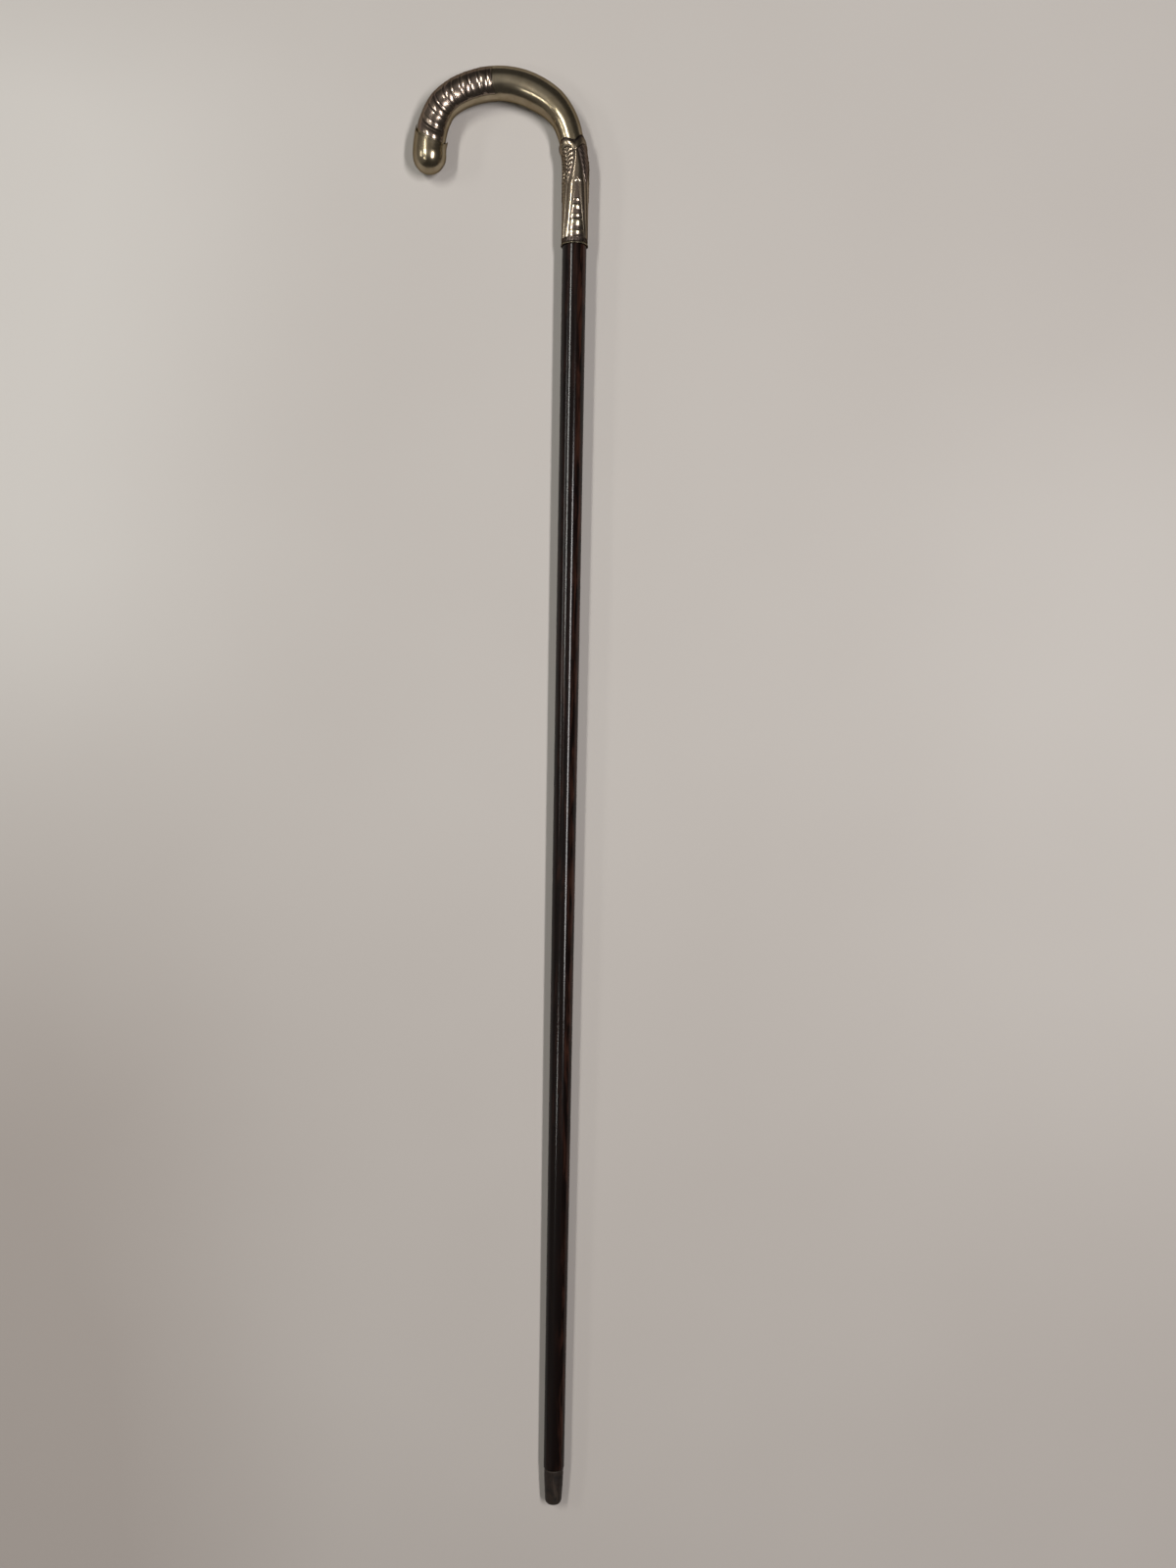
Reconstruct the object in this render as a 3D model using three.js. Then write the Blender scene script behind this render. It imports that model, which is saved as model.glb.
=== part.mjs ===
// Walking cane: a dark hardwood shaft with a horn ferrule and a crook handle of stamped silver.
// Millimetres. +Z runs up the shaft and the origin is the middle of the ferrule's worn tip.
// The crook lies in the XZ plane with its nose towards -X, and its front faces -Y.

import * as THREE from 'three';
import { mergeVertices } from 'three/addons/utils/BufferGeometryUtils.js';

// Driving dimensions, ferrule
const ferruleLength = 22.4;
const ferruleTopDiameter = 12.1;
const ferruleLowDiameter = 10.4;
const ferruleRounding = 3.4;
const ferruleChamfer = 0.5;
const tipFlatDiameter = 5;
const spigotDiameter = 7;
const spigotLength = 14;

// Driving dimensions, shaft
const shaftLength = 764.6;
const shaftFootDiameter = 12.8;
const shaftHeadDiameter = 15.2;
const shaftFootRounding = 0.8;
const tenonLength = 50;
const tenonTipDiameter = 10;
const headShoulder = 0.3;

// Driving dimensions, fits and walls
const fitGap = 0.3;
const boreClearance = 0.05;
const sheetWall = 0.45;
const turnedSegments = 24;
const fillWall = 0.8;

// Driving dimensions, crook
const crookRadius = 46;
const legOffset = 3.5;
const tubeCrestRadius = 10.2;
const tubeNoseRadius = 9.5;
const tubeMouthAngle = 2;
const tubeEndAngle = 176;

// Driving dimensions, ribbed panel of the crook (angles round the crook from the leg)
const panelStep = 0.45;
const stripHalfAngle = 31;
const firstBeadAngle = 99.5;
const beadPitch = 15.35;
const beadCount = 4;
const beadHeight = 0.32;
const filletHeight = 0.22;
const bandDepth = 0.15;
const cuspReach = 3;
const panelLead = 4.7;
const endFilletOffset = 10.6;
const endBandOffset = 6.5;
const endBandHalf = 5.3;
const endBandDepth = 0.55;
const panelSlant = 9;
const slantTurn = 58;
const slantFrom = 103;
const slantFull = 135;

// Driving dimensions, nose cap
const capWall = 0.5;
const capDomeLength = 11.4;
const capEdgeAngle = 171.3;
const capFitSlack = 0.15;
const capDomeTurns = 28;
const hornAngle = 2;
const hornSpread = 30;
const hornLean = 0.15;
const tickAngle = 2;
const tickSpread = 25;
const tickLean = 0.5;

// Driving dimensions, collar (heights above the collar's lower rim)
const collarTurn = 8.5;
const rimHeight = 1;
const rimProud = 0.5;
const rimFlare = 0.3;
const rimRounding = 0.15;
const bandMidHeight = 59.8;
const bandHalfWidth = 3.1;
const bandRise = 3.8;
const bandSag = 4.2;
const bandProud = 0.75;
const bandEdgeProud = 0.06;
const leafTopHeight = 61.5;
const leafPointHeight = 36.8;
const leafHalfAngle = 40;
const leafProud = 0.32;
const legProud = 0.45;
const innerApexHeight = 41;
const innerSlope = 1.06;
const grooveSpread = 21;
const footHeight = 4;
const footProud = 0.15;

// The ladder in each lancet: height above the rim, half the width and how far it stands out.
// The side lancets have the same rungs, lower by a share
const sideRungShare = 0.4;
const ladder = [
  { height: 6.9, half: 1.0, proud: 0.4 },
  { height: 12.9, half: 2.2, proud: 0.85 },
  { height: 17.2, half: 0.8, proud: 0.3 },
  { height: 22.6, half: 1.5, proud: 0.5 },
  { height: 27.0, half: 0.8, proud: 0.28 },
];

// Sizes that follow from those above
const rad = Math.PI / 180;
const shaftFootZ = ferruleLength;
const rimZ = shaftFootZ + shaftLength;
const tenonRootRadius = shaftHeadDiameter / 2 - headShoulder;
const tenonTopZ = rimZ + tenonLength;
const collarBore = tenonRootRadius + fitGap + boreClearance;
const groundRadius = collarBore + sheetWall;
const neckRadius = collarBore - fitGap;
const legReach = crookRadius + legOffset;
const crookCentreZ = rimZ + bandMidHeight - bandSag;
const capBore = tubeNoseRadius + fitGap + capFitSlack;
const capRadius = capBore + capWall;

// Smooth curve through [position, value] stations, level beyond both ends
function through(stations, x) {
  const last = stations.length - 1;
  if (x <= stations[0][0]) return stations[0][1];
  if (x >= stations[last][0]) return stations[last][1];
  let i = 0;
  while (x > stations[i + 1][0]) i += 1;
  const slope = (k) => {
    const a = stations[Math.max(k - 1, 0)];
    const b = stations[Math.min(k + 1, last)];
    return (b[1] - a[1]) / (b[0] - a[0]);
  };
  const [x0, y0] = stations[i];
  const [x1, y1] = stations[i + 1];
  const width = x1 - x0;
  const t = (x - x0) / width;
  const rise = t * t * (3 - 2 * t);
  const start = t * (1 - t) * (1 - t) * width * slope(i);
  const finish = t * t * (t - 1) * width * slope(i + 1);
  return y0 + (y1 - y0) * rise + start + finish;
}

const clamp01 = (x) => Math.min(Math.max(x, 0), 1);
const step = (x, from, to) => THREE.MathUtils.smoothstep(x, from, to);
const ridge = (x, half) => (Math.abs(x) < half ? 0.5 + 0.5 * Math.cos((Math.PI * x) / half) : 0);
const arch = (t) => Math.sqrt(Math.max(1 - t * t, 0));

// Spine of the handle: straight up the shaft, then round the crook's centre, by polar angle
const straightAbove = -18;
const spineStations = [
  [-24, legReach / Math.cos(24 * rad)],
  [straightAbove, legReach / Math.cos(straightAbove * rad)],
  [-12, legReach / Math.cos(12 * rad)],
  [6.5, crookRadius + 2],
  [15, crookRadius + 1.7],
  [30, crookRadius + 2.2],
  [45, crookRadius + 1.9],
  [60, crookRadius + 0.8],
  [90, crookRadius],
  [110, crookRadius - 0.1],
  [135, crookRadius + 0.6],
  [150, crookRadius - 1.1],
  [165, crookRadius - 3],
  [180, crookRadius - 3.8],
];

function spinePoint(angle) {
  const straight = angle < straightAbove;
  const r = straight ? legReach / Math.cos(angle * rad) : through(spineStations, angle);
  const x = -legReach + r * Math.cos(angle * rad);
  return new THREE.Vector3(x, 0, crookCentreZ + r * Math.sin(angle * rad));
}

function spineFrame(angle) {
  const point = spinePoint(angle);
  const along = new THREE.Vector3(0, 0, -1);
  if (angle < 180) along.subVectors(spinePoint(angle + 0.01), spinePoint(angle - 0.01)).normalize();
  const outward = new THREE.Vector3(along.z, 0, -along.x);
  return { point, along, outward };
}

// Polar angle at which the spine reaches a height, on the leg side
function angleAtHeight(z) {
  let low = -60;
  let high = 60;
  for (let i = 0; i < 40; i += 1) {
    const middle = (low + high) / 2;
    if (spinePoint(middle).z < z) low = middle;
    else high = middle;
  }
  return (low + high) / 2;
}

// A point at a distance from the spine. Turn 0 faces the front, 90 the outside of the crook
function around(frame, turn, distance) {
  const front = new THREE.Vector3(0, -1, 0);
  return frame.point
    .clone()
    .addScaledVector(front, distance * Math.cos(turn * rad))
    .addScaledVector(frame.outward, distance * Math.sin(turn * rad));
}

// Plain radius of the crook's tube along its polar angle
const tubeStations = [
  [-5, neckRadius],
  [6.5, neckRadius + 0.05],
  [15, neckRadius + 0.5],
  [30, neckRadius + 1.1],
  [45, tubeCrestRadius - 0.6],
  [60, tubeCrestRadius],
  [90, tubeCrestRadius - 0.05],
  [105, tubeCrestRadius - 0.25],
  [135, tubeNoseRadius + 0.15],
  [165, tubeNoseRadius],
  [180, tubeNoseRadius],
];
const tubeRadius = (angle) => through(tubeStations, angle);

// Distance round the tube from the middle of the inside strip, 0 to 180
const fromInside = (turn) => Math.abs(((((turn + 90) % 360) + 540) % 360) - 180);

// Shares of the cap's horn, on the outside of the crook, and of its tick, on the inside
const horn = (turn) => Math.max(1 - Math.abs(fromInside(turn) - 180) / hornSpread, 0) ** 2.2;
const tick = (turn) => Math.max(1 - fromInside(turn) / tickSpread, 0);

// Lean of the panel's lines round the tube, none at the front and back
const slantShape = (turn) =>
  panelSlant * (Math.cos((fromInside(turn) - slantTurn) * rad) - Math.cos((90 - slantTurn) * rad));

// Polar angle of one of the panel's lines, which lean more towards the nose and not at the tube's end
function panelAngle(line, turn) {
  const start = step(line, slantFrom, slantFull);
  return line + start * (1 - step(line, capEdgeAngle + 1.2, tubeEndAngle)) * slantShape(turn);
}

// The cap's edge as a line of the panel, with its horn and tick
const capEdge = (turn) => capEdgeAngle - hornAngle * horn(turn) - tickAngle * tick(turn);

// Relief of the ribbed panel: beads between fillets, with hollow bands between them
function panelRelief(line, turn) {
  const q = fromInside(turn);
  const cusp = cuspReach * Math.exp(-Math.max(q - stripHalfAngle, 0) / 12);
  const panelStart = firstBeadAngle - panelLead - cusp;
  const acrossStrip = step(q, stripHalfAngle - 3, stripHalfAngle + 3);
  const alongPanel = step(line, panelStart - 0.5, panelStart + 0.3);
  const beforeCap = 1 - step(line, capEdge(turn) - 2.8, capEdge(turn) - 1.8);
  const mask = acrossStrip * alongPanel * beforeCap;
  if (mask === 0) return 0;
  let height = panelStep;
  for (let k = 0; k < beadCount; k += 1) {
    const bead = line - (firstBeadAngle + beadPitch * k);
    height += beadHeight * arch(bead / 2.2);
    height += filletHeight * (ridge(bead + 3.6, 1) + ridge(bead - 3.4, 1));
    height -= bandDepth * Math.max(1 - ((bead - 7.5) / 2.9) ** 2, 0);
  }
  const endFillet = firstBeadAngle + beadPitch * (beadCount - 1) + endFilletOffset;
  height += filletHeight * ridge(line - endFillet, 1);
  height -= endBandDepth * Math.max(1 - ((line - endFillet - endBandOffset) / endBandHalf) ** 2, 0);
  const edgeFade = step(q, stripHalfAngle, stripHalfAngle + 20);
  const sideFade = 1 - 0.85 * step(q, 95, 170);
  return mask * (panelStep + (height - panelStep) * edgeFade) * sideFade;
}

// Half angle of a leaf, of the groove between lancets and of the inner V, by height above the rim
function leafHalf(h) {
  const u = clamp01((leafTopHeight - h) / (leafTopHeight - leafPointHeight));
  return h > leafPointHeight ? leafHalfAngle * (1 - u ** 1.6) : 0;
}
const groove = (h) => 45 + grooveSpread * clamp01((leafPointHeight - h) / leafPointHeight);
const innerFront = (h) => innerSlope * Math.max(innerApexHeight - h, 0);
const innerSide = (h) => (innerFront(h) * (90 - groove(h))) / groove(h);

// Mid-height of the scalloped band, which dips to a notch at every quarter turn
const bandMid = (turn) => bandMidHeight + bandRise * Math.abs(Math.sin(2 * turn * rad)) ** 0.9;

// Relief of the collar, from its height above the rim and its turn in the collar's own frame
function collarRelief(h, turn) {
  const t = (h - bandMid(turn)) / bandHalfWidth;
  if (Math.abs(t) <= 1) return bandEdgeProud + bandProud * (1 - t * t);
  if (t > 1) return 0.05;
  if (h < footHeight) return footProud;
  const b = Math.abs(((((turn + 90) % 180) + 180) % 180) - 90);
  const half = leafHalf(h);
  const e = Math.abs(b - 45) / Math.max(half, 0.1);
  if (e < 1) return leafProud * Math.min(half / 10, 1) * arch(e) + 0.05;
  const front = b < groove(h);
  const span = front ? groove(h) - half : 90 - groove(h) - half;
  const d = front ? b : 90 - b;
  const inner = front ? innerFront(h) : innerSide(h);
  if (d < inner) {
    const across = arch(d / inner) ** 0.5;
    const rungs = ladder.map((rung) => rung.proud * ridge(h - rung.height, rung.half));
    return Math.max(...rungs) * across * (front ? 1 : sideRungShare);
  }
  const blend = step(innerApexHeight - h, 0, 3);
  const from = -span + (inner + span) * blend;
  const mid = (from + span) / 2;
  return legProud * (1 - Math.abs((d - mid) / ((span - from) / 2)) ** 3);
}

// One closed body from triangles: shared corners merged, flat triangles dropped, faces outward
function closedBody(geometry) {
  geometry.deleteAttribute('normal');
  geometry.deleteAttribute('uv');
  const merged = mergeVertices(geometry, 1e-4);
  const at = (k) => new THREE.Vector3().fromBufferAttribute(merged.attributes.position, k);
  const faces = [];
  let volume = 0;
  for (let i = 0; i < merged.index.count; i += 3) {
    const [a, b, c] = [0, 1, 2].map((k) => merged.index.getX(i + k));
    if (a === b || b === c || c === a) continue;
    faces.push([a, b, c]);
    volume += at(a).dot(at(b).cross(at(c)));
  }
  const outward = faces.map(([a, b, c]) => (volume > 0 ? [a, b, c] : [a, c, b]));
  merged.setIndex(outward.flat());
  merged.computeVertexNormals();
  return merged;
}

// Strip of triangles between two edges with different numbers of points, by the shorter diagonal
function zip(faces, points, edgeA, edgeB) {
  const missing = (k) => k === undefined;
  const length = (a, b) => (missing(a) || missing(b) ? Infinity : points[a].distanceTo(points[b]));
  let i = 0;
  let j = 0;
  while (i < edgeA.length - 1 || j < edgeB.length - 1) {
    if (length(edgeA[i + 1], edgeB[j]) <= length(edgeA[i], edgeB[j + 1])) {
      faces.push([edgeA[i], edgeA[i + 1], edgeB[j]]);
      i += 1;
    } else {
      faces.push([edgeA[i], edgeB[j + 1], edgeB[j]]);
      j += 1;
    }
  }
}

// Closed body between an outer and an inner skin. Each skin is rows of points over the same
// columns, all the way round when round is true, and the skins meet at their first and last rows
function skinBody(outerRows, innerRows, round) {
  const points = [];
  const index = (rows) => rows.map((row) => row.map((p) => points.push(p) - 1));
  const outer = index(outerRows);
  const inner = index(innerRows);
  const faces = [];
  const columns = outer[0].length;
  const quads = (rows) => {
    for (let i = 0; i < rows.length - 1; i += 1) {
      for (let j = 0; j < (round ? columns : columns - 1); j += 1) {
        const k = (j + 1) % columns;
        faces.push([rows[i][j], rows[i + 1][j], rows[i + 1][k]]);
        faces.push([rows[i][j], rows[i + 1][k], rows[i][k]]);
      }
    }
  };
  quads(outer);
  quads([...inner].reverse());
  quads([inner[0], outer[0]]);
  quads([outer[outer.length - 1], inner[inner.length - 1]]);
  if (!round) {
    const side = (rows, j) => rows.map((row) => row[j]);
    zip(faces, points, side(inner, 0), side(outer, 0));
    zip(faces, points, side(outer, columns - 1), side(inner, columns - 1));
  }
  const geometry = new THREE.BufferGeometry().setFromPoints(points);
  geometry.setIndex(faces.flat());
  return closedBody(geometry);
}

const spread = (from, to, count) =>
  Array.from({ length: count + 1 }, (_, i) => from + ((to - from) * i) / count);

// Columns of a half shell, from seam to seam, leaving half the fit gap at each seam
function seamColumns(fractions, distance) {
  const reach = 90 - Math.asin(fitGap / 2 / distance) / rad;
  return fractions.map((f) => f * reach);
}

// Rows of the tube's bore, which the filling shares
const boreAngles = spread(tubeMouthAngle, tubeEndAngle, 23);

// Half of the crook's tube: side 0 is the front half, 180 the back half
function crookShell(side) {
  const fractions = spread(-1, 1, 12);
  const offsets = [-panelLead, -3.6, -2.5, -1.4, 0, 1.4, 2.4, 3.4, 4.5, 7.5];
  const beads = spread(0, beadCount - 1, beadCount - 1).map((k) => firstBeadAngle + beadPitch * k);
  const endFillet = beads[beadCount - 1] + endFilletOffset;
  const lines = [
    ...spread(tubeMouthAngle, 10, 2),
    ...spread(15, 90, 9),
    92.2,
    ...beads.flatMap((bead) => offsets.map((offset) => bead + offset)),
    ...[-1.1, 0, 1.1, 3, endBandOffset].map((offset) => endFillet + offset),
    ...[-4.8, -3.8, -2.8, -1.8, 1.2].map((offset) => capEdgeAngle + offset),
    tubeEndAngle,
  ];
  const turnsAt = (angle) => seamColumns(fractions, tubeRadius(angle)).map((turn) => side + turn);
  const outer = lines.map((line) =>
    turnsAt(line).map((turn) => {
      const angle = panelAngle(line, turn);
      return around(spineFrame(angle), turn, tubeRadius(angle) + panelRelief(line, turn));
    }),
  );
  const inner = boreAngles.map((angle) =>
    turnsAt(angle).map((turn) => around(spineFrame(angle), turn, tubeRadius(angle) - sheetWall)),
  );
  return skinBody(outer, inner, false);
}

// Columns of a quarter of the collar, which follow the lancet, the grooves and the leaf
function quarterColumns(h) {
  const v = Math.max(innerFront(h), 1.2);
  const w = Math.max(innerSide(h), 1.2);
  const g = groove(h);
  const half = Math.max(leafHalf(h), 0.8);
  const leg = g - half - v;
  const sideLeg = 90 - w - g - half;
  const frontLeg = [0.15, 0.5, 0.85].map((f) => v + leg * f);
  const leaf = [-1, -0.5, 0, 0.5, 1].map((f) => g + half * f);
  return [0, v / 2, v, ...frontLeg, ...leaf, g + half + sideLeg * 0.5, 90 - w, 90];
}

// Half of the collar, split where the side lancets cover the seams
function collarShell(side) {
  const rungSteps = (half) => (half > 1 ? [-1, -0.45, 0, 0.45, 1] : [-1, 0, 1]);
  const rungs = ladder.flatMap(({ height, half }) => rungSteps(half).map((f) => height + f * half));
  const low = [rimHeight + fitGap, 2.6, 3.8, 4.4, ...rungs, 29, 32.5, 36.4, 37.4, 39.6];
  const heights = [...low, 41, 43, 46, 50, 54.5].filter((h, i, all) => i === 0 || h > all[i - 1] + 0.2);
  const bandSteps = [-1.4, -1.02, -0.99, -0.85, -0.5, 0, 0.5, 0.85, 0.99];
  const mirrored = (quarter) => [...quarter.slice(1).reverse().map((c) => -c), ...quarter];
  const rowAt = (heightAt, radiusAt, quarter = quarterColumns(heightAt(45))) => {
    const columns = seamColumns(mirrored(quarter).map((c) => c / 90), collarBore);
    return columns.map((turn) => {
      const h = heightAt(turn);
      const angle = angleAtHeight(rimZ + h);
      return around(spineFrame(angle), side + turn + collarTurn, radiusAt(h, turn, angle));
    });
  };
  const overTube = (angle) => (angle > tubeMouthAngle - 3 ? tubeRadius(angle) + fitGap : 0);
  const boreAt = (angle) => Math.max(collarBore, overTube(angle));
  const outerAt = (h, turn, angle) =>
    Math.max(groundRadius + collarRelief(h, side + turn), boreAt(angle) + sheetWall * 0.7);
  const evenColumns = spread(0, 90, quarterColumns(0).length - 1);
  const onBand = (t) => (turn) => bandMid(turn) + t * bandHalfWidth;
  const outer = [
    ...heights.map((h) => rowAt(() => h, outerAt)),
    ...bandSteps.map((t) => rowAt(onBand(t), outerAt, evenColumns)),
  ];
  const inside = (h, turn, angle) => boreAt(angle);
  const inner = [
    ...[rimHeight + fitGap, 24, 37, 43, 48, 53].map((h) => rowAt(() => h, inside, evenColumns)),
    ...[-1.02, -0.3, 0.4, 0.99].map((t) => rowAt(onBand(t), inside, evenColumns)),
  ];
  return skinBody(outer, inner, false);
}

// Nose cap: a cup over the end of the tube, with a swagged edge, a horn outside and a tick inside
function noseCap() {
  const turns = spread(0, 360, capDomeTurns).slice(0, -1);
  const edge = (turn) => capEdge(turn) + slantShape(turn);
  const lean = (turn, u) => (1 - u) ** 3 * (hornLean * horn(turn) + tickLean * tick(turn));
  const sleeve = (distance) => (u) =>
    turns.map((turn) => {
      const angle = edge(turn) + (180 - edge(turn)) * u;
      return around(spineFrame(angle), turn, distance + lean(turn, u));
    });
  const end = spineFrame(180);
  const dome = (distance, length) => (b) => {
    const ring = turns.map((turn) => around(end, turn, distance * Math.cos(b * rad)));
    return ring.map((p) => p.addScaledVector(end.along, length * Math.sin(b * rad)));
  };
  const outer = [
    ...[0, 0.06, 0.2, 0.4, 0.7, 1].map(sleeve(capRadius)),
    ...spread(12, 90, 8).map(dome(capRadius, capDomeLength)),
  ];
  const inner = [
    ...[0, 0.25, 0.6, 1].map(sleeve(capBore)),
    ...spread(22.5, 90, 3).map(dome(capBore, capDomeLength - capWall)),
  ];
  return skinBody(outer, inner, true);
}

// Filling of the crook and collar, cast round the cone of the shaft's tenon
function handleFill() {
  const turns = spread(0, 340, 17);
  const tenonRadiusAt = (z) => through([[rimZ, tenonRootRadius], [tenonTopZ, tenonTipDiameter / 2]], z);
  const outerCollar = collarBore - fitGap;
  const inTube = (angle) => tubeRadius(angle) - sheetWall - fitGap;
  const taper = (tenonRootRadius - tenonTipDiameter / 2) / tenonLength;
  const footZ = rimZ + Math.max((tenonRootRadius + fitGap + fillWall - outerCollar) / taper, 2);
  const ring = (frame, distance) => turns.map((turn) => around(frame, turn, distance));
  const collarRow = (z) => ring(spineFrame(angleAtHeight(z)), outerCollar);
  const tubeRow = (angle) => ring(spineFrame(angle), inTube(angle));
  const end = spineFrame(180);
  const domeRow = (b) => {
    const row = ring(end, inTube(180) * Math.cos(b * rad));
    return row.map((p) => p.addScaledVector(end.along, inTube(180) * Math.sin(b * rad)));
  };
  const neckZ = spinePoint(tubeMouthAngle).z - 2.5;
  const outer = [
    ...spread(footZ, neckZ - 1, 4).map(collarRow),
    ring(spineFrame(angleAtHeight(neckZ)), inTube(tubeMouthAngle)),
    ...boreAngles.concat(180).map(tubeRow),
    ...spread(18, 90, 4).map(domeRow),
  ];
  const outward = new THREE.Vector3(1, 0, 0);
  const socketRow = (z, distance) => ring({ point: new THREE.Vector3(0, 0, z), outward }, distance);
  const inner = [
    ...spread(footZ, tenonTopZ, 2).map((z) => socketRow(z, tenonRadiusAt(z) + fitGap)),
    socketRow(tenonTopZ + fitGap, tenonTipDiameter / 2 + fitGap),
    socketRow(tenonTopZ + fitGap, 0),
  ];
  return skinBody(outer, inner, true);
}

// Revolved body from a profile of [radius, height] pairs
function turned(profile, segments) {
  const points = profile.map(([r, z]) => new THREE.Vector2(r, z));
  return closedBody(new THREE.LatheGeometry(points, segments).rotateX(Math.PI / 2));
}

const quarterArc = (cx, cz, rx, rz, from, to, count) =>
  spread(from, to, count).map((b) => [cx + rx * Math.cos(b * rad), cz + rz * Math.sin(b * rad)]);

// Shaft: tapered stick with a spigot for the ferrule and a conical tenon for the handle
function shaft() {
  const foot = shaftFootDiameter / 2;
  const head = shaftHeadDiameter / 2;
  const spigot = spigotDiameter / 2;
  const rounding = shaftFootRounding;
  const taper = through.bind(null, [[0, foot], [0.45, foot + (head - foot) * 0.6], [1, head]]);
  const stickLength = shaftLength - fitGap;
  const stick = spread(0, 1, 8).slice(1).map((u) => [taper(u), shaftFootZ + stickLength * u]);
  return turned(
    [
      [0, shaftFootZ - spigotLength],
      [spigot, shaftFootZ - spigotLength],
      [spigot, shaftFootZ],
      ...quarterArc(foot - rounding, shaftFootZ + rounding, rounding, rounding, -90, 0, 4),
      ...stick,
      [tenonRootRadius, rimZ - fitGap],
      [tenonTipDiameter / 2, tenonTopZ],
      [0, tenonTopZ],
    ],
    turnedSegments,
  );
}

// Ferrule: tapered horn sleeve with a rounded end, a worn flat and a blind socket for the spigot
function ferrule() {
  const top = ferruleTopDiameter / 2;
  const low = ferruleLowDiameter / 2;
  const flat = tipFlatDiameter / 2;
  const socket = spigotDiameter / 2 + fitGap;
  const topZ = ferruleLength - fitGap;
  const socketZ = ferruleLength - spigotLength - fitGap;
  return turned(
    [
      [0, 0],
      ...quarterArc(flat, ferruleRounding, low - flat, ferruleRounding, -90, 0, 6),
      [low + (top - low) * 0.7, ferruleLength * 0.6],
      [top, topZ - ferruleChamfer],
      [top - ferruleChamfer, topZ],
      [socket, topZ],
      [socket, socketZ],
      [0, socketZ],
    ],
    turnedSegments,
  );
}

// Rim: a soldered edge round the collar's mouth, flared towards its flat underside
function collarRim() {
  const bore = collarBore - boreClearance;
  const edge = groundRadius + rimProud;
  const round = rimRounding;
  const low = quarterArc(edge - round, rimZ + round, round, round, -90, 0, 3);
  const side = [
    [edge - 0.03, rimZ + rimHeight * 0.45],
    [edge - rimFlare, rimZ + rimHeight - round / 2],
    [edge - rimFlare - round / 2, rimZ + rimHeight],
  ];
  return turned([[bore, rimZ], ...low, ...side, [bore, rimZ + rimHeight], [bore, rimZ]], 40);
}

const finishes = {
  silver: { color: 0x8c8374, roughness: 0.24, metalness: 1 },
  wood: { color: 0x1c1310, roughness: 0.3, metalness: 0 },
  horn: { color: 0x3a2f28, roughness: 0.55, metalness: 0 },
  pitch: { color: 0x2a211b, roughness: 0.8, metalness: 0 },
};

const cane = new THREE.Group();
const pieces = [
  ['ferrule', ferrule(), finishes.horn],
  ['shaft', shaft(), finishes.wood],
  ['collar_rim', collarRim(), finishes.silver],
  ['collar_front_shell', collarShell(0), finishes.silver],
  ['collar_back_shell', collarShell(180), finishes.silver],
  ['crook_front_shell', crookShell(0), finishes.silver],
  ['crook_back_shell', crookShell(180), finishes.silver],
  ['nose_cap', noseCap(), finishes.silver],
  ['handle_fill', handleFill(), finishes.pitch],
];
for (const [name, geometry, finish] of pieces) {
  const mesh = new THREE.Mesh(geometry, new THREE.MeshStandardMaterial(finish));
  mesh.name = name;
  cane.add(mesh);
}

export default cane;
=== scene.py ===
# Walking cane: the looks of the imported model. Lengths in the shape functions are millimetres
import math

import bpy
import numpy as np
from mathutils import Matrix, Vector


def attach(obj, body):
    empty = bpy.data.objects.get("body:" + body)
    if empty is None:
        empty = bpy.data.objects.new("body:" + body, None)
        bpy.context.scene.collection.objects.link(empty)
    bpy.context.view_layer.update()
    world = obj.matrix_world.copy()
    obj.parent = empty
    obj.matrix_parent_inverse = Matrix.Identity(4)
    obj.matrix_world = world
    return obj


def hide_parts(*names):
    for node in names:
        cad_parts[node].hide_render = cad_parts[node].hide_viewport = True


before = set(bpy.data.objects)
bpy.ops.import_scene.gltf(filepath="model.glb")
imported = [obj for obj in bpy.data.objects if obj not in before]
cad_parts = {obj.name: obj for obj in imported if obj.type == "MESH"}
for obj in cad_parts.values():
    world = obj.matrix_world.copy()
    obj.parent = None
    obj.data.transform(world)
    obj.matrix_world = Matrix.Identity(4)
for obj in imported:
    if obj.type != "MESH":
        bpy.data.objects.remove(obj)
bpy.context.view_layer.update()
print("frame loaded, CAD nodes:", ", ".join(sorted(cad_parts)))

# Camera straight in front of the cane, rolled by the cane's lean in the picture
cameraSet = {"lens": 34.875, "sensor": 36, "place": (0.0142, -0.9517, 0.4507), "roll": 0.97}


def placeCamera():
    lens = bpy.data.cameras.new("camera")
    lens.lens = cameraSet["lens"]
    lens.sensor_width = cameraSet["sensor"]
    lens.clip_start, lens.clip_end = 0.02, 20
    eye = bpy.data.objects.new("camera", lens)
    bpy.context.scene.collection.objects.link(eye)
    roll = math.radians(cameraSet["roll"])
    right = Vector((math.cos(roll), 0, math.sin(roll)))
    up = Vector((-math.sin(roll), 0, math.cos(roll)))
    turn = Matrix((right, up, right.cross(up))).transposed().to_4x4()
    eye.matrix_world = Matrix.Translation(cameraSet["place"]) @ turn
    bpy.context.scene.camera = eye


placeCamera()
print("camera placed")


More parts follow.
